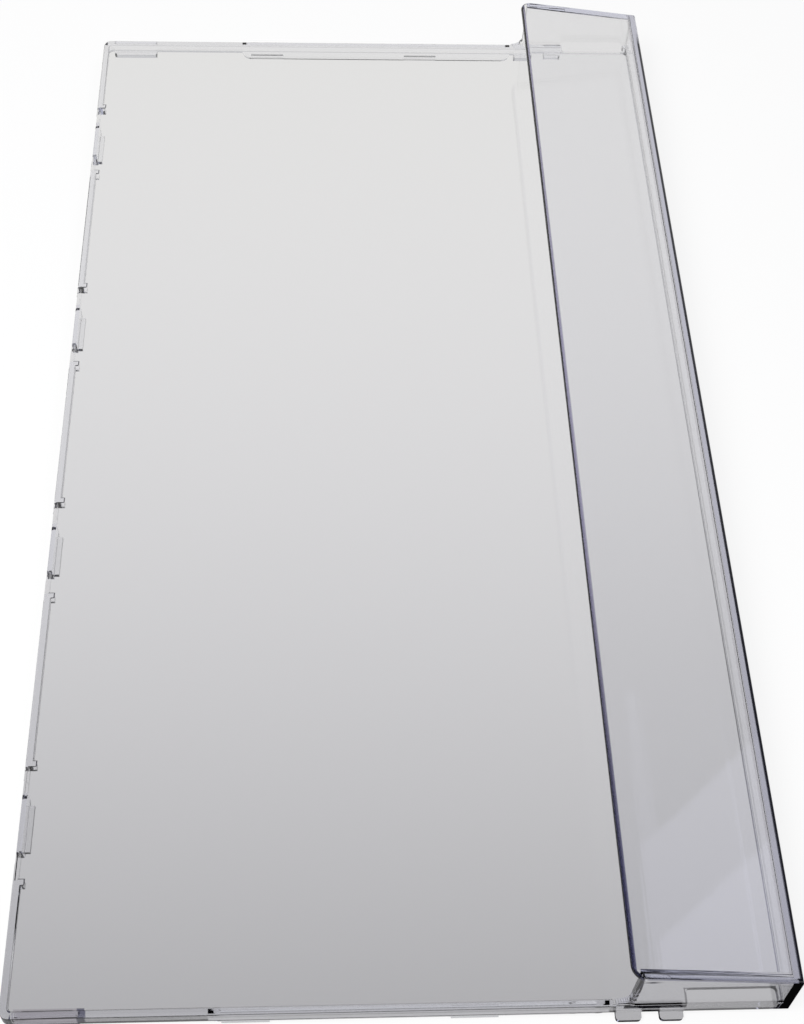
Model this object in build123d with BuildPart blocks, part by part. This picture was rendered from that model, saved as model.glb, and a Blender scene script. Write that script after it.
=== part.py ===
import os
from math import radians, tan

from build123d import *

# Clear moulded front of a freezer drawer, lying front up on the feet of its back.
# X runs along the front, Y runs up it towards the hood, Z points out of the front face.
# All sizes in millimetres, all angles in degrees.

# Panel and rim
front_length = 452.0
front_height = 247.0
back_depth = 10.0
rim_depth = 6.5
panel_wall = 2.4
rim_wall = 2.2
wall_draft = 1.5
corner_round = 3.3
edge_round = 1.6
pocket_round = 0.8

# Hood with the grip gap
hood_reach = 54.6
lip_rise = 25.0
hood_drop = 7.2
hood_wall = 2.3
end_wall = 2.2
top_wall = 2.8
lip_corner_round = 4.5
lip_top_round = 1.35
lip_under_round = 0.75
gap_corner_round = 1.4
end_set_back = 2.8
foot_round = 5.5
foot_sink = 0.4
foot_wall = 1.9

# Slots beside the end walls, under the hood
slot_width = 4.6
slot_length = 29.0
slot_top_margin = 1.4
slot_round = 1.5

# Deep ribs, barbs and hook feet of the two ends
rib_wall = 1.6
rib_inset = 0.8
rib_round = 3.8
low_rib_round = 1.2
low_rib_start = 4.5
low_rib_length = 19.5
main_rib_start = 64.0
main_rib_lip_gap = 2.5
barb_length = 15.0
barb_height = 2.2
barb_starts = (68.0, 140.0)
low_foot_out = 1.6
hook_out = 2.1
hook_sole = 1.8
hook_round = 1.2
hook_spans = ((-0.3, 8.2), (13.7, 7.6))

# Snap tongues of the lower edge
tongue_count = 4
tongue_end_margin = 64.9
tongue_length = 20.5
tongue_wall = 1.5
tongue_sole = 1.5
tongue_sole_reach = 3.1
tongue_round = 2.0
relief_length = 41.5
relief_wall = 1.3
web_wall = 1.8
web_reach = 2.3
step_length = 29.4
step_depth = 0.4

# Levels and lines that follow from the sizes above
half_length = front_length / 2
half_height = front_height / 2
front_z = back_depth
rim_z = back_depth - rim_depth
panel_back_z = front_z - panel_wall
lip_z = front_z + lip_rise
lip_y = half_height - hood_reach
draft_slope = tan(radians(wall_draft))
end_face_x = half_length - draft_slope * rim_depth
top_face_y = half_height - draft_slope * rim_depth
end_inner_x = end_face_x - end_wall
top_inner_y = top_face_y - top_wall
block_height = lip_z - rim_z + 4.0
rib_face_x = half_length - rib_inset
rib_top_z = panel_back_z + 0.5
end_wall_y = lip_y + end_set_back
foot_y = end_wall_y + foot_sink
slot_end_y = top_inner_y - slot_top_margin
low_edge_y = -half_height
tongue_face_y = low_edge_y + step_depth
tongue_pitch = (front_length - 2 * tongue_end_margin) / (tongue_count - 1)
tongue_xs = [-half_length + tongue_end_margin + i * tongue_pitch for i in range(tongue_count)]
web_xs = [x + side * relief_length / 2 for x in tongue_xs for side in (-1, 1)]
web_sink = relief_wall * 0.8
main_rib_length = lip_y - main_rib_lip_gap - low_edge_y - main_rib_start

# Drafted block that gives the outer walls of rim and hood
with BuildPart() as draft_block:
    with BuildSketch(Plane.XY.offset(rim_z)) as outline:
        Rectangle(front_length, front_height)
        fillet(outline.vertices().group_by(Axis.Y)[0], corner_round)
    extrude(amount=block_height, taper=wall_draft)

# Outside of the hood, its top sloping down from the lip
with BuildPart() as hood_block:
    add(draft_block.part)
    with BuildSketch(Plane.YZ):
        with BuildLine():
            Polyline(
                (lip_y, rim_z - 1),
                (lip_y, lip_z),
                (half_height + 10, lip_z - hood_drop * (hood_reach + 10) / hood_reach),
                (half_height + 10, rim_z - 1),
                close=True,
            )
        make_face()
    extrude(amount=front_length, both=True, mode=Mode.INTERSECT)
    uprights = hood_block.edges().filter_by(Axis.Z, tolerance=5).group_by(Axis.Y)[0]
    fillet(uprights, lip_corner_round)
    top_skin = hood_block.faces().sort_by(Axis.Z)[-1]
    fillet(top_skin.edges(), lip_top_round)

# Room under the hood, open at the lip, where the end walls stop a little short of it
with BuildPart() as grip_gap:
    with BuildSketch(Plane.XY.offset(front_z)):
        with Locations((0, (lip_y - 30 + top_inner_y) / 2)):
            Rectangle(2 * end_inner_x, top_inner_y - lip_y + 30)
    extrude(amount=block_height, taper=wall_draft)
    with BuildSketch(Plane.XY.offset(front_z)):
        with Locations((0, end_wall_y - 20)):
            Rectangle(front_length + 10, 40)
    extrude(amount=block_height)
    with BuildSketch(Plane.YZ):
        with BuildLine():
            Polyline(
                (lip_y - 40, front_z - 1),
                (lip_y - 40, lip_z - hood_wall + hood_drop * 40 / hood_reach),
                (half_height + 10, lip_z - hood_wall - hood_drop * (hood_reach + 10) / hood_reach),
                (half_height + 10, front_z - 1),
                close=True,
            )
        make_face()
    extrude(amount=front_length, both=True, mode=Mode.INTERSECT)
    ceiling = grip_gap.faces().sort_by(Axis.Z)[-1]
    fillet(ceiling.edges().filter_by_position(Axis.Y, end_wall_y + 1, half_height), gap_corner_round)

# Recess of the back, inside the rim
with BuildPart() as back_pocket:
    with BuildSketch(Plane.XY.offset(panel_back_z)):
        RectangleRounded(2 * end_inner_x, 2 * (half_height - rim_wall), corner_round / 2)
    extrude(amount=rim_z - panel_back_z - 1)
    fillet(back_pocket.faces().sort_by(Axis.Z)[-1].edges(), pocket_round)

# Slots through the panel, one beside each end wall
with BuildPart() as slot:
    with BuildSketch(Plane.XY.offset(front_z)) as slot_outline:
        with Locations((end_inner_x - slot_width / 2, slot_end_y - slot_length / 2)):
            Rectangle(slot_width, slot_length)
        fillet(slot_outline.vertices().group_by(Axis.X)[0], slot_round)
    extrude(amount=-panel_wall - 1)

# Curved foot that leads the end wall's free edge into the panel
with BuildPart() as wall_foot:
    with BuildSketch(Plane.YZ.offset(end_inner_x)):
        with BuildLine():
            CenterArc((foot_y - foot_round, front_z + foot_round), foot_round, -90, 90)
            Polyline(
                (foot_y, front_z + foot_round),
                (foot_y + lip_corner_round, front_z + foot_round),
                (foot_y + lip_corner_round, front_z - panel_wall * 0.8),
                (foot_y - foot_round, front_z - panel_wall * 0.8),
                (foot_y - foot_round, front_z),
            )
        make_face()
    extrude(amount=foot_wall)

# Ribs, barbs and hook feet along one end of the back
with BuildPart() as end_fittings:
    for start, length, corner in (
        (low_rib_start, low_rib_length, low_rib_round),
        (main_rib_start, main_rib_length, rib_round),
    ):
        with BuildSketch(Plane.YZ.offset(rib_face_x)) as rib_outline:
            with Locations((low_edge_y + start + length / 2, rib_top_z / 2)):
                Rectangle(length, rib_top_z)
            fillet(rib_outline.vertices().group_by(Axis.Y)[0], corner)
        extrude(amount=-rib_wall)
    for start in barb_starts:
        with BuildSketch(Plane.XZ.offset(-(low_edge_y + start))):
            with BuildLine():
                Polyline(
                    (rib_face_x - rib_wall / 2, 0),
                    (rib_face_x - rib_wall / 2, barb_height),
                    (rib_face_x, barb_height),
                    (rib_face_x + rib_inset, barb_height * 0.45),
                    (rib_face_x + rib_inset * 0.5, 0),
                    close=True,
                )
            make_face()
        extrude(amount=-barb_length)
    for start, length in hook_spans:
        with BuildSketch(Plane.XY):
            with Locations((half_length - rim_wall * 0.55, lip_y + start + length / 2)):
                Rectangle(rim_wall * 0.9, length)
        extrude(amount=rib_top_z)
    soles = [(lip_y + start, length, hook_out) for start, length in hook_spans]
    soles.append((low_edge_y + low_rib_start, low_rib_length, low_foot_out))
    for start, length, reach in soles:
        with BuildSketch(Plane.XY) as sole_outline:
            with Locations((half_length - rim_wall + (rim_wall + reach) / 2, start + length / 2)):
                Rectangle(rim_wall + reach, length)
            fillet(sole_outline.vertices().group_by(Axis.X)[-1], hook_round)
        extrude(amount=hook_sole)

# Snap tongue with its outward bead and inward sole, at the middle of the lower edge
with BuildPart() as tongue:
    with BuildSketch(Plane.XZ.offset(-tongue_face_y)) as tongue_outline:
        with Locations((0, rib_top_z / 2)):
            Rectangle(tongue_length, rib_top_z)
        fillet(tongue_outline.vertices().group_by(Axis.Y)[0], tongue_round)
    extrude(amount=-tongue_wall)
    with BuildSketch(Plane.YZ.offset(-tongue_length / 2 + tongue_round)):
        with BuildLine():
            Polyline(
                (tongue_face_y + tongue_wall / 2, 0),
                (tongue_face_y + tongue_wall / 2, barb_height),
                (tongue_face_y, barb_height),
                (low_edge_y, barb_height * 0.45),
                (tongue_face_y - step_depth * 0.5, 0),
                close=True,
            )
        make_face()
    extrude(amount=tongue_length - 2 * tongue_round)
    with BuildSketch(Plane.XY):
        with Locations((0, tongue_face_y + tongue_sole_reach / 2)):
            Rectangle(tongue_length - 2 * tongue_round, tongue_sole_reach)
    extrude(amount=tongue_sole)

with BuildPart() as drawer_front:
    # Panel with the drafted rim round its back
    add(draft_block.part)
    with BuildSketch(Plane.XY.offset(rim_z)):
        Rectangle(front_length + 2, front_height + 2)
    extrude(amount=rim_depth, mode=Mode.INTERSECT)
    fillet(drawer_front.faces().sort_by(Axis.Z)[-1].edges(), edge_round)
    add(hood_block.part)
    add(grip_gap.part, mode=Mode.SUBTRACT)
    add(back_pocket.part, mode=Mode.SUBTRACT)
    add(slot.part, mode=Mode.SUBTRACT)
    mirror(slot.part, about=Plane.YZ, mode=Mode.SUBTRACT)
    lip_under = drawer_front.edges().filter_by(Axis.X).filter_by_position(Axis.Y, lip_y - 0.5, lip_y + 0.5)
    fillet(lip_under.filter_by_position(Axis.Z, lip_z - hood_wall - 1, lip_z - hood_wall + 1), lip_under_round)
    # Rim thinned inside and stepped outside where the tongues flex
    with BuildSketch(Plane.XY.offset(panel_back_z)):
        with Locations([(x, low_edge_y + relief_wall + rim_wall / 2) for x in tongue_xs]):
            Rectangle(relief_length, rim_wall)
    extrude(amount=-rim_depth, mode=Mode.SUBTRACT)
    with BuildSketch(Plane.XY.offset(rim_z - 1)):
        with Locations([(x, tongue_face_y - 1) for x in tongue_xs]):
            Rectangle(step_length, 2)
    extrude(amount=rim_depth + 2, mode=Mode.SUBTRACT)
    # Upright webs that close both ends of each thinned stretch
    with BuildSketch(Plane.XY.offset(rim_z)):
        with Locations([(x, low_edge_y + relief_wall + (web_reach - web_sink) / 2) for x in web_xs]):
            Rectangle(web_wall, web_reach + web_sink)
    extrude(amount=rim_depth - panel_wall * 0.8)
    # Fittings of the back and feet of the end walls
    for x in tongue_xs:
        add(tongue.part.moved(Location((x, 0, 0))))
    for side_part in (end_fittings.part, wall_foot.part):
        add(side_part)
        mirror(side_part, about=Plane.YZ)

drawer_front.part.label = "drawer_front"
os.makedirs("parts", exist_ok=True)
export_step(drawer_front.part, "parts/drawer_front.step")
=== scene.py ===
import math

import bmesh
import bpy
from mathutils import Matrix, Vector


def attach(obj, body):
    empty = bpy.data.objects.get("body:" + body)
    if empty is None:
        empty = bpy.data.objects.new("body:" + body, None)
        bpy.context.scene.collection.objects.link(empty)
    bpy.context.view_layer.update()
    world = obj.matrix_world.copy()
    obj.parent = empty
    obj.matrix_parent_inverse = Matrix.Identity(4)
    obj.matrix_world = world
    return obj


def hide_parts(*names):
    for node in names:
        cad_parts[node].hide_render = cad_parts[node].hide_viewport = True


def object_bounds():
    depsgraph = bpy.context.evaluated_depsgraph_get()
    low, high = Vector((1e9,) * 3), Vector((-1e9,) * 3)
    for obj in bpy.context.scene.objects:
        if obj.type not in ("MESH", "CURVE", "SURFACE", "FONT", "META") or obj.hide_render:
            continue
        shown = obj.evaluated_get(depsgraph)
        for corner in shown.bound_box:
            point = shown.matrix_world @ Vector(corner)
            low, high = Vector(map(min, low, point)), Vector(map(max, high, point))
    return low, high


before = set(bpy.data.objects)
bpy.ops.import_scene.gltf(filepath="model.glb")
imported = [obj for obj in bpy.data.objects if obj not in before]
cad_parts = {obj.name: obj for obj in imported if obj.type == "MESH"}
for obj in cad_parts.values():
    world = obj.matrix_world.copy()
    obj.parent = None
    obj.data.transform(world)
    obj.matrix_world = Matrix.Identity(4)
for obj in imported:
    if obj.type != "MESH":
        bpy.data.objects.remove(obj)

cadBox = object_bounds()
scene = bpy.context.scene
scene.view_settings.view_transform = "Standard"
print("frame loaded:", sorted(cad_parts))


def newNode(tree, kind, **values):
    node = tree.nodes.new(kind)
    for name, value in values.items():
        setattr(node, name, value)
    return node


def freshMaterial(name):
    material = bpy.data.materials.new(name)
    material.use_nodes = True
    material.node_tree.nodes.clear()
    return material, material.node_tree


# clear moulding: the solid's own mesh, joined up, with flats kept flat and rounds smooth
frontShape = {
    "mergeGap": 0.00001,                # m, doubles closer than this are one point
    "flatAngle": math.radians(0.1),     # triangles flatter than this join into one face
    "sharpAngle": math.radians(35),     # edges steeper than this stay crisp
    "flatWeight": 50,                   # large flats lead the shading of the rounds beside them
}

clearPlastic = {
    "tintAndShade": (0.985, 0.985, 0.988, 1),
    "ior": 1.585,
    "haze": (0.0, 0.012),               # roughness between clean and slightly hazy patches
    "hazeScale": 9.0,
    "hazeCut": (0.60, 0.80),            # share of the noise where haze starts and is full
    "waveScale": 26.0,                  # slow waves of the moulded faces
    "waveHeight": 0.00002,              # m
    "markScale": (30.0, 900.0, 30.0),   # fine wiping marks, drawn out along the length
    "markShare": 0.075,                 # of the waves' height
    "absorbColour": (0.52, 0.55, 0.80, 1),
    "absorbDensity": 20.0,              # per metre
}

# painted shade: dark lines and grey bands painted into the plastic's base colour along edges that would
# turn light away and show the dark room, each with the box it lies in, in metres, None where open: along
# from end to end, under counted along the slope of the hood, tongue both ways from the middle of each
# snap tongue, turn across the round corners of the lip; the lip's painted shade is darkest towards the
# near end
paintedEdgeShade = {
    "lip": {"tintAndShade": (0.25, 0.235, 0.36, 1), "y": (None, 0.0706), "z": (0.0250, None)},
    "lipMiddle": {"tintAndShade": (0.36, 0.34, 0.50, 1), "along": (-0.12, 0.15, 0.10), "y": (None, 0.0706),
                  "z": (0.0250, None)},
    "lipNear": {"tintAndShade": (0.050, 0.050, 0.120, 1), "along": (0.06, None, 0.15), "y": (None, 0.0706),
                "z": (0.0250, None)},
    "topBand": {"tintAndShade": (0.70, 0.69, 0.70, 1), "y": (0.1182, None), "z": (0.0260, None)},
    "topEdge": {"tintAndShade": (0.0004, 0.0004, 0.0008, 1), "along": (-0.214, None, 0.01), "y": (0.1212, None),
                "z": (0.0260, None)},
    "corner": {"tintAndShade": (0.0002, 0.0002, 0.0006, 1), "along": (0.2238, None), "y": (0.1205, None)},
    "endTop": {"tintAndShade": (0.42, 0.42, 0.50, 1), "along": (0.2244, None), "y": (0.0735, 0.1212),
               "under": (0.0424, None)},
    "slotSide": {"tintAndShade": (0.004, 0.004, 0.008, 1), "along": (0.2184, 0.2192), "y": (0.0895, 0.1195),
                 "z": (0.006, 0.0099)},
    "slotEnd": {"tintAndShade": (0.004, 0.004, 0.008, 1), "along": (0.2184, 0.2240), "y": (0.0896, 0.0904),
                "z": (0.006, 0.0099)},
    "wallFoot": {"tintAndShade": (0.0003, 0.0003, 0.0008, 1), "along": (0.2246, None), "y": (0.0700, 0.0903),
                 "z": (0.0066, 0.0097)},
    "wallEnd": {"tintAndShade": (0.20, 0.19, 0.21, 1), "along": (0.2249, None), "y": (0.0712, 0.0733),
                "z": (0.0093, 0.0310)},
    "lipTurn": {"tintAndShade": (0.004, 0.004, 0.012, 1), "along": (0.0, None), "y": (None, 0.0780),
                "z": (0.0250, None), "turn": (0.1521, None)},
    "lipTail": {"tintAndShade": (0.004, 0.004, 0.010, 1), "along": (0.2249, None), "y": (0.0715, 0.0800, 0.004),
                "z": (0.0298, 0.0318)},
    "web": {"tintAndShade": (0.0005, 0.0005, 0.0030, 1), "y": (-0.1221, -0.1193), "z": (0.0068, 0.0084),
            "tongue": (0.0194, 0.0221)},
    "lowRib": {"tintAndShade": (0.62, 0.58, 0.63, 1), "along": (0.2225, 0.2262), "y": (-0.1192, -0.0992),
               "z": (None, 0.0095)},
    "lowRibLine": {"tintAndShade": (0.01, 0.01, 0.012, 1), "along": (0.2230, 0.2241), "y": (-0.1165, -0.1005),
                   "z": (0.0064, 0.0082)},
    "lowRibEnd": {"tintAndShade": (0.10, 0.10, 0.16, 1), "along": (0.2225, 0.2264), "y": (-0.0998, -0.0970),
                  "z": (None, 0.0095)},
    "lowCorner": {"tintAndShade": (0.01, 0.01, 0.04, 1), "along": (0.2238, None), "y": (None, -0.1205),
                  "z": (0.0030, 0.0080)},
}
edgeFade = 0.0004                       # m over which a dark edge fades in, where it names no other
hoodSlope = 0.1319
tonguePitch = 0.1074                    # m


def ramp(tree, value, start, end):
    node = newNode(tree, "ShaderNodeMapRange", interpolation_type="SMOOTHSTEP")
    node.inputs["From Min"].default_value = start
    node.inputs["From Max"].default_value = end
    tree.links.new(value, node.inputs["Value"])
    return node.outputs["Result"]


def product(tree, first, second):
    node = newNode(tree, "ShaderNodeMath", operation="MULTIPLY")
    tree.links.new(first, node.inputs[0])
    tree.links.new(second, node.inputs[1])
    return node.outputs["Value"]


# painted shade: the plastic's own tint with the dark edge lines and grey bands painted over it
def paintedShadeBase(tree, place):
    parts = newNode(tree, "ShaderNodeSeparateXYZ")
    tree.links.new(place.outputs["Object"], parts.inputs["Vector"])
    out = newNode(tree, "ShaderNodeMath", operation="ABSOLUTE")
    tree.links.new(parts.outputs["X"], out.inputs[0])
    under = newNode(tree, "ShaderNodeMath", operation="MULTIPLY_ADD")
    under.inputs[1].default_value = hoodSlope
    tree.links.new(parts.outputs["Y"], under.inputs[0])
    tree.links.new(parts.outputs["Z"], under.inputs[2])
    bay = newNode(tree, "ShaderNodeMath", operation="FLOORED_MODULO")
    bay.inputs[1].default_value = tonguePitch
    tree.links.new(parts.outputs["X"], bay.inputs[0])
    middle = newNode(tree, "ShaderNodeMath", operation="SUBTRACT")
    middle.inputs[1].default_value = tonguePitch / 2
    tree.links.new(bay.outputs["Value"], middle.inputs[0])
    tongue = newNode(tree, "ShaderNodeMath", operation="ABSOLUTE")
    tree.links.new(middle.outputs["Value"], tongue.inputs[0])
    turn = newNode(tree, "ShaderNodeMath", operation="SUBTRACT")
    tree.links.new(out.outputs["Value"], turn.inputs[0])
    tree.links.new(parts.outputs["Y"], turn.inputs[1])
    axes = {"along": parts.outputs["X"], "y": parts.outputs["Y"], "z": parts.outputs["Z"],
            "under": under.outputs["Value"], "tongue": tongue.outputs["Value"],
            "turn": turn.outputs["Value"]}
    sides = {}                          # a limit that several edges share is worked out once
    colour = None
    for edge in paintedEdgeShade.values():
        inside = None
        for axis, value in axes.items():
            if axis not in edge:
                continue
            low, high, fade = (*edge[axis], edgeFade)[:3]
            for limit, step in ((low, fade), (high, -fade)):
                if limit is None:
                    continue
                if (axis, limit, step) not in sides:
                    sides[axis, limit, step] = ramp(tree, value, limit, limit + step)
                side = sides[axis, limit, step]
                inside = side if inside is None else product(tree, inside, side)
        mix = newNode(tree, "ShaderNodeMix", data_type="RGBA")
        tree.links.new(inside, mix.inputs["Factor"])
        if colour is None:
            mix.inputs[6].default_value = clearPlastic["tintAndShade"]
        else:
            tree.links.new(colour, mix.inputs[6])
        mix.inputs[7].default_value = edge["tintAndShade"]
        colour = mix.outputs[2]
    return colour


def makeClearPlastic():
    material, tree = freshMaterial("clearPlastic")
    output = newNode(tree, "ShaderNodeOutputMaterial")
    shader = newNode(tree, "ShaderNodeBsdfPrincipled", distribution="GGX")
    shader.inputs["Transmission Weight"].default_value = 1
    shader.inputs["IOR"].default_value = clearPlastic["ior"]
    place = newNode(tree, "ShaderNodeTexCoord")
    clouds = newNode(tree, "ShaderNodeTexNoise", noise_dimensions="2D")
    clouds.inputs["Scale"].default_value = clearPlastic["hazeScale"]
    clouds.inputs["Detail"].default_value = 1
    tree.links.new(place.outputs["Object"], clouds.inputs["Vector"])
    haze = newNode(tree, "ShaderNodeMapRange")
    haze.inputs["From Min"].default_value = clearPlastic["hazeCut"][0]
    haze.inputs["From Max"].default_value = clearPlastic["hazeCut"][1]
    haze.inputs["To Min"].default_value = clearPlastic["haze"][0]
    haze.inputs["To Max"].default_value = clearPlastic["haze"][1]
    tree.links.new(clouds.outputs["Fac"], haze.inputs["Value"])
    tree.links.new(haze.outputs["Result"], shader.inputs["Roughness"])
    waves = newNode(tree, "ShaderNodeTexNoise", noise_dimensions="2D")
    waves.inputs["Scale"].default_value = clearPlastic["waveScale"]
    waves.inputs["Detail"].default_value = 0
    tree.links.new(place.outputs["Object"], waves.inputs["Vector"])
    stretch = newNode(tree, "ShaderNodeMapping")
    stretch.inputs["Scale"].default_value = clearPlastic["markScale"]
    tree.links.new(place.outputs["Object"], stretch.inputs["Vector"])
    marks = newNode(tree, "ShaderNodeTexNoise", noise_dimensions="2D")
    marks.inputs["Scale"].default_value = 1
    marks.inputs["Detail"].default_value = 0
    tree.links.new(stretch.outputs["Vector"], marks.inputs["Vector"])
    relief = newNode(tree, "ShaderNodeMath", operation="MULTIPLY_ADD")
    relief.inputs[1].default_value = clearPlastic["markShare"]
    tree.links.new(marks.outputs["Fac"], relief.inputs[0])
    tree.links.new(waves.outputs["Fac"], relief.inputs[2])
    bump = newNode(tree, "ShaderNodeBump")
    bump.inputs["Distance"].default_value = clearPlastic["waveHeight"]
    tree.links.new(relief.outputs["Value"], bump.inputs["Height"])
    tree.links.new(bump.outputs["Normal"], shader.inputs["Normal"])
    tree.links.new(paintedShadeBase(tree, place), shader.inputs["Base Color"])
    tree.links.new(shader.outputs["BSDF"], output.inputs["Surface"])
    volume = newNode(tree, "ShaderNodeVolumeAbsorption")
    volume.inputs["Color"].default_value = clearPlastic["absorbColour"]
    volume.inputs["Density"].default_value = clearPlastic["absorbDensity"]
    tree.links.new(volume.outputs["Volume"], output.inputs["Volume"])
    return material


def makeFront():
    bm = bmesh.new()
    bm.from_mesh(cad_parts["drawer_front"].data)
    bmesh.ops.remove_doubles(bm, verts=bm.verts, dist=frontShape["mergeGap"])
    bmesh.ops.dissolve_limit(bm, angle_limit=frontShape["flatAngle"], verts=bm.verts, edges=bm.edges)
    openEdges = sum(1 for edge in bm.edges if len(edge.link_faces) != 2)
    for face in bm.faces:
        face.smooth = True
    mesh = bpy.data.meshes.new("drawerFront")
    bm.to_mesh(mesh)
    bm.free()
    mesh.set_sharp_from_angle(angle=frontShape["sharpAngle"])
    front = bpy.data.objects.new("drawerFront", mesh)
    scene.collection.objects.link(front)
    flats = front.modifiers.new("flats", "WEIGHTED_NORMAL")
    flats.mode = "FACE_AREA"
    flats.weight = frontShape["flatWeight"]
    flats.keep_sharp = True
    front.data.materials.append(makeClearPlastic())
    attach(front, "root")
    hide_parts("drawer_front")
    print("front:", len(mesh.polygons), "faces, open edges", openEdges)
    return front


makeFront()


# pale table top: white to the eye, with the front's shadow; seen through the plastic and in its
# reflections it glows with painted shade, a grey fall-off darker towards the near end
tableTop = {
    "size": 6.0,
    "colour": (1.0, 1.0, 1.0, 1),
    "eyeGlow": 0.86,                    # share of the white that no shadow takes
    # painted shade: the glow seen through the plastic, darker towards the near end, warmer far and cooler
    # near
    "glowFar": 0.82,                    # brightness through the plastic at the far end
    "glowNear": 0.48,                   # the same at the near end
    "glowCurve": 2.8,
    "farColour": (1.0, 0.992, 0.965, 1),
    "nearColour": (1.0, 0.993, 1.015, 1),
    "dim": [                            # m, painted dark reflection: patches where reflection rays see the glow cut down, so outer faces mirror little of it
        {"x": (0.2165, 0.2311), "y": (0.0680, 0.0911)},
        {"x": (0.2165, 0.2270), "y": (0.0903, 0.1205)},
        {"x": (0.2165, 0.400), "y": (0.1196, 0.300)},
    ],
    "dimSoft": 0.0008,
    "mirrored": 0.02,                   # share of the glow that is left there
    "drop": 0.00015,                    # m below the feet, so that no two faces share a plane
}


def makeTable():
    bm = bmesh.new()
    bmesh.ops.create_grid(bm, x_segments=1, y_segments=1, size=tableTop["size"] / 2)
    bmesh.ops.translate(bm, verts=bm.verts, vec=(0, 0, -tableTop["drop"]))
    mesh = bpy.data.meshes.new("table")
    bm.to_mesh(mesh)
    bm.free()
    table = bpy.data.objects.new("table", mesh)
    scene.collection.objects.link(table)
    material, tree = freshMaterial("tableTop")
    output = newNode(tree, "ShaderNodeOutputMaterial")
    paper = newNode(tree, "ShaderNodeBsdfDiffuse")
    paper.inputs["Color"].default_value = tableTop["colour"]
    glow = newNode(tree, "ShaderNodeEmission")
    hue = newNode(tree, "ShaderNodeMix", data_type="RGBA")
    hue.inputs[6].default_value = tableTop["farColour"]
    hue.inputs[7].default_value = tableTop["nearColour"]
    seen = newNode(tree, "ShaderNodeMix", data_type="RGBA")
    seen.inputs[7].default_value = tableTop["colour"]
    place = newNode(tree, "ShaderNodeTexCoord")
    parts = newNode(tree, "ShaderNodeSeparateXYZ")
    along = newNode(tree, "ShaderNodeMapRange")
    along.inputs["From Min"].default_value = cadBox[0][0]
    along.inputs["From Max"].default_value = cadBox[1][0]
    curve = newNode(tree, "ShaderNodeMath", operation="POWER")
    curve.inputs[1].default_value = tableTop["glowCurve"]
    strength = newNode(tree, "ShaderNodeMapRange")
    strength.inputs["To Min"].default_value = tableTop["glowFar"]
    strength.inputs["To Max"].default_value = tableTop["glowNear"]
    ray = newNode(tree, "ShaderNodeLightPath")
    toEye = newNode(tree, "ShaderNodeMath", operation="MULTIPLY")
    toEye.inputs[1].default_value = tableTop["eyeGlow"]
    inGloss = newNode(tree, "ShaderNodeMath", operation="ADD", use_clamp=True)
    factor = newNode(tree, "ShaderNodeMath", operation="ADD", use_clamp=True)
    level = newNode(tree, "ShaderNodeMix", data_type="FLOAT")
    mix = newNode(tree, "ShaderNodeMixShader")
    tree.links.new(place.outputs["Object"], parts.inputs["Vector"])
    tree.links.new(parts.outputs["X"], along.inputs["Value"])
    tree.links.new(along.outputs["Result"], curve.inputs[0])
    tree.links.new(curve.outputs["Value"], strength.inputs["Value"])
    tree.links.new(along.outputs["Result"], hue.inputs["Factor"])
    tree.links.new(hue.outputs[2], seen.inputs[6])
    tree.links.new(ray.outputs["Is Camera Ray"], seen.inputs["Factor"])
    tree.links.new(seen.outputs[2], glow.inputs["Color"])
    tree.links.new(ray.outputs["Is Camera Ray"], toEye.inputs[0])
    tree.links.new(ray.outputs["Is Glossy Ray"], inGloss.inputs[0])
    tree.links.new(ray.outputs["Is Transmission Ray"], inGloss.inputs[1])
    tree.links.new(toEye.outputs["Value"], factor.inputs[0])
    tree.links.new(inGloss.outputs["Value"], factor.inputs[1])
    tree.links.new(ray.outputs["Is Camera Ray"], level.inputs["Factor"])
    # painted dark reflection: for reflection rays the glow is cut down inside the dim patches
    soft = tableTop["dimSoft"]
    dim = None
    for sides in tableTop["dim"]:
        patch = None
        for axis, (low, high) in sides.items():
            for start, end in ((low, low + soft), (high, high - soft)):
                side = ramp(tree, parts.outputs[axis.upper()], start, end)
                patch = side if patch is None else product(tree, patch, side)
        if dim is not None:
            both = newNode(tree, "ShaderNodeMath", operation="MAXIMUM")
            tree.links.new(dim, both.inputs[0])
            tree.links.new(patch, both.inputs[1])
            patch = both.outputs["Value"]
        dim = patch
    share = newNode(tree, "ShaderNodeMapRange")
    share.inputs["To Min"].default_value = 1
    share.inputs["To Max"].default_value = tableTop["mirrored"]
    tree.links.new(product(tree, ray.outputs["Is Reflection Ray"], dim), share.inputs["Value"])
    tree.links.new(product(tree, strength.outputs["Result"], share.outputs["Result"]), level.inputs["A"])
    level.inputs["B"].default_value = 1.0
    tree.links.new(level.outputs["Result"], glow.inputs["Strength"])
    tree.links.new(factor.outputs["Value"], mix.inputs["Fac"])
    tree.links.new(paper.outputs["BSDF"], mix.inputs[1])
    tree.links.new(glow.outputs["Emission"], mix.inputs[2])
    tree.links.new(mix.outputs["Shader"], output.inputs["Surface"])
    table.data.materials.append(material)
    print("table: glow", tableTop["glowFar"], "to", tableTop["glowNear"])


makeTable()


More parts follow.
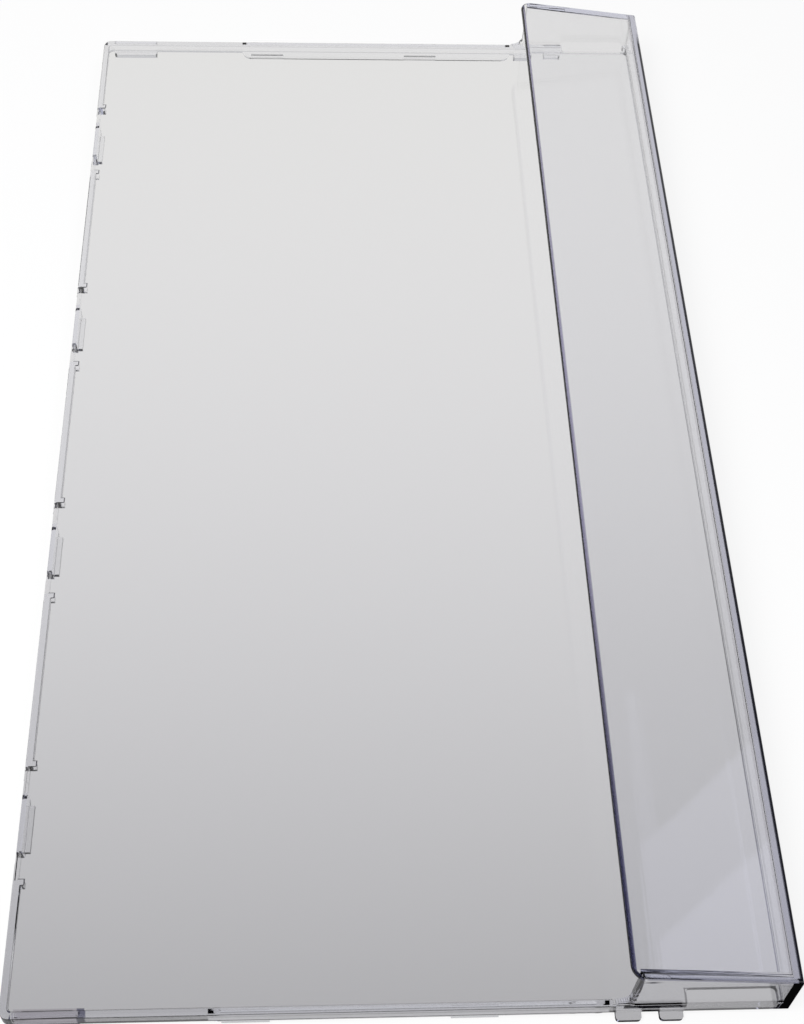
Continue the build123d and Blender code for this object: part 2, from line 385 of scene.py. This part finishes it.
# soft studio light: a bright backdrop beyond the far end that falls off overhead, and a window of panes
studio = {
    "low": 0.02,
    "high": 0.65,
    "from": 0.35,                       # the backdrop fades in between these shares of -X
    "to": 0.85,
    "paneColour": (0.98, 0.99, 1.22),   # daylight, a little cool
    "soft": 0.005,                      # of a pane's side, where it names no other
    "panes": [                          # each lies where all its sides are negative
        {"strength": 0.24, "sides": [
            ((0.0, -1.0, 0.0), 0.33, 0.08), ((0.0, 1.0, 0.0), -0.62), ((0.0, 0.0, -1.0), 0.70),
            ((-1.0, 0.0, 0.0), -0.40, 0.16)]},
        {"strength": 0.46, "sides": [
            ((-0.7552, -0.6555, 0.0036), 0.0), ((-0.0373, -0.8966, 0.4414), 0.0),
            ((0.0, 0.0, -1.0), 0.72), ((0.0, 1.0, 0.0), -0.62)]},
        {"strength": 0.42, "sides": [
            ((-0.7810, -0.6235, 0.0354), 0.0, 0.006), ((-0.0574, -0.8954, 0.4415), 0.0),
            ((0.0, 0.0, -1.0), 0.72), ((0.0, 1.0, 0.0), -0.62)]},
        {"strength": 0.20, "sides": [
            ((-0.0240, -0.8943, 0.4469), 0.0), ((-0.0117, 0.8827, -0.4697), 0.0),
            ((-0.8923, -0.1688, -0.4186), 0.0), ((0.7552, 0.6555, -0.0036), 0.0)]},
    ],
}


def makeWorld():
    world = bpy.data.worlds.new("studio")
    scene.world = world
    world.use_nodes = True
    tree = world.node_tree
    back = tree.nodes["Background"]
    back.inputs["Strength"].default_value = 1
    place = newNode(tree, "ShaderNodeTexCoord")
    parts = newNode(tree, "ShaderNodeSeparateXYZ")
    ahead = newNode(tree, "ShaderNodeMath", operation="MULTIPLY")
    ahead.inputs[1].default_value = -1
    level = newNode(tree, "ShaderNodeMapRange", interpolation_type="SMOOTHSTEP")
    level.inputs["From Min"].default_value = studio["from"]
    level.inputs["From Max"].default_value = studio["to"]
    level.inputs["To Min"].default_value = studio["low"]
    level.inputs["To Max"].default_value = studio["high"]
    tree.links.new(place.outputs["Generated"], parts.inputs["Vector"])
    tree.links.new(parts.outputs["X"], ahead.inputs[0])
    tree.links.new(ahead.outputs["Value"], level.inputs["Value"])
    lit = None
    for pane in studio["panes"]:
        inside = None
        for facing, *edge in pane["sides"]:
            offset, soft = (*edge, studio["soft"])[:2]
            across = newNode(tree, "ShaderNodeVectorMath", operation="DOT_PRODUCT")
            across.inputs[1].default_value = facing
            tree.links.new(place.outputs["Generated"], across.inputs[0])
            side = ramp(tree, across.outputs["Value"], soft / 2 - offset, -soft / 2 - offset)
            inside = side if inside is None else product(tree, inside, side)
        both = newNode(tree, "ShaderNodeMath", operation="MULTIPLY_ADD")
        both.inputs[1].default_value = pane["strength"]
        both.inputs[2].default_value = 0
        tree.links.new(inside, both.inputs[0])
        if lit is not None:
            tree.links.new(lit, both.inputs[2])
        lit = both.outputs["Value"]
    window = newNode(tree, "ShaderNodeVectorMath", operation="SCALE")
    window.inputs[0].default_value = studio["paneColour"]
    tree.links.new(lit, window.inputs["Scale"])
    whole = newNode(tree, "ShaderNodeVectorMath", operation="ADD")
    tree.links.new(window.outputs["Vector"], whole.inputs[0])
    tree.links.new(level.outputs["Result"], whole.inputs[1])
    ray = newNode(tree, "ShaderNodeLightPath")
    shown = newNode(tree, "ShaderNodeMix", data_type="RGBA")
    shown.inputs[7].default_value = (1, 1, 1, 1)
    tree.links.new(ray.outputs["Is Camera Ray"], shown.inputs["Factor"])
    tree.links.new(whole.outputs["Vector"], shown.inputs[6])
    tree.links.new(shown.outputs[2], back.inputs["Color"])
    print("studio: backdrop", studio["high"], "panes", len(studio["panes"]))


makeWorld()

overhead = {
    "place": (0.5, -0.5, 1.3),
    "aim": (0.0, 0.0, 0.0),
    "size": 0.9,
    "power": 22,
}


def makeLamp():
    light = bpy.data.lights.new("overhead", "AREA")
    light.shape = "RECTANGLE"
    light.size = overhead["size"]
    light.size_y = overhead["size"]
    light.energy = overhead["power"]
    lamp = bpy.data.objects.new("overhead", light)
    place = Vector(overhead["place"])
    lamp.location = place
    lamp.rotation_euler = (Vector(overhead["aim"]) - place).to_track_quat("-Z", "Y").to_euler()
    lamp.visible_glossy = False         # the plastic mirrors the studio, not the lamp
    lamp.visible_transmission = False
    scene.collection.objects.link(lamp)
    print("lamp:", overhead["power"], "W")


makeLamp()

scene.cycles.caustics_refractive = False
scene.cycles.caustics_reflective = False
scene.cycles.max_bounces = 14
scene.cycles.transmission_bounces = 14
scene.cycles.glossy_bounces = 6
scene.cycles.diffuse_bounces = 1


# camera at the photograph's viewing angle
view = {
    "place": (0.3688428, -0.0230413, 0.4997947),
    "target": (0.0400098, 0.0067379, 0.010),
    "roll": -0.0390779,
    "lens": 55.2842,
}


def makeCamera():
    data = bpy.data.cameras.new("camera")
    data.lens = view["lens"]
    data.sensor_width = 36
    data.clip_start = 0.01
    camera = bpy.data.objects.new("camera", data)
    place = Vector(view["place"])
    ahead = (Vector(view["target"]) - place).normalized()
    side = ahead.cross(Vector((-1, 0, 0))).normalized()
    up = side.cross(ahead)
    turned = Matrix.Rotation(-view["roll"], 3, ahead)
    side = turned @ side
    up = turned @ up
    camera.matrix_world = Matrix.Translation(place) @ Matrix((side, up, -ahead)).transposed().to_4x4()
    scene.collection.objects.link(camera)
    scene.camera = camera


makeCamera()
print("camera: lens", view["lens"])
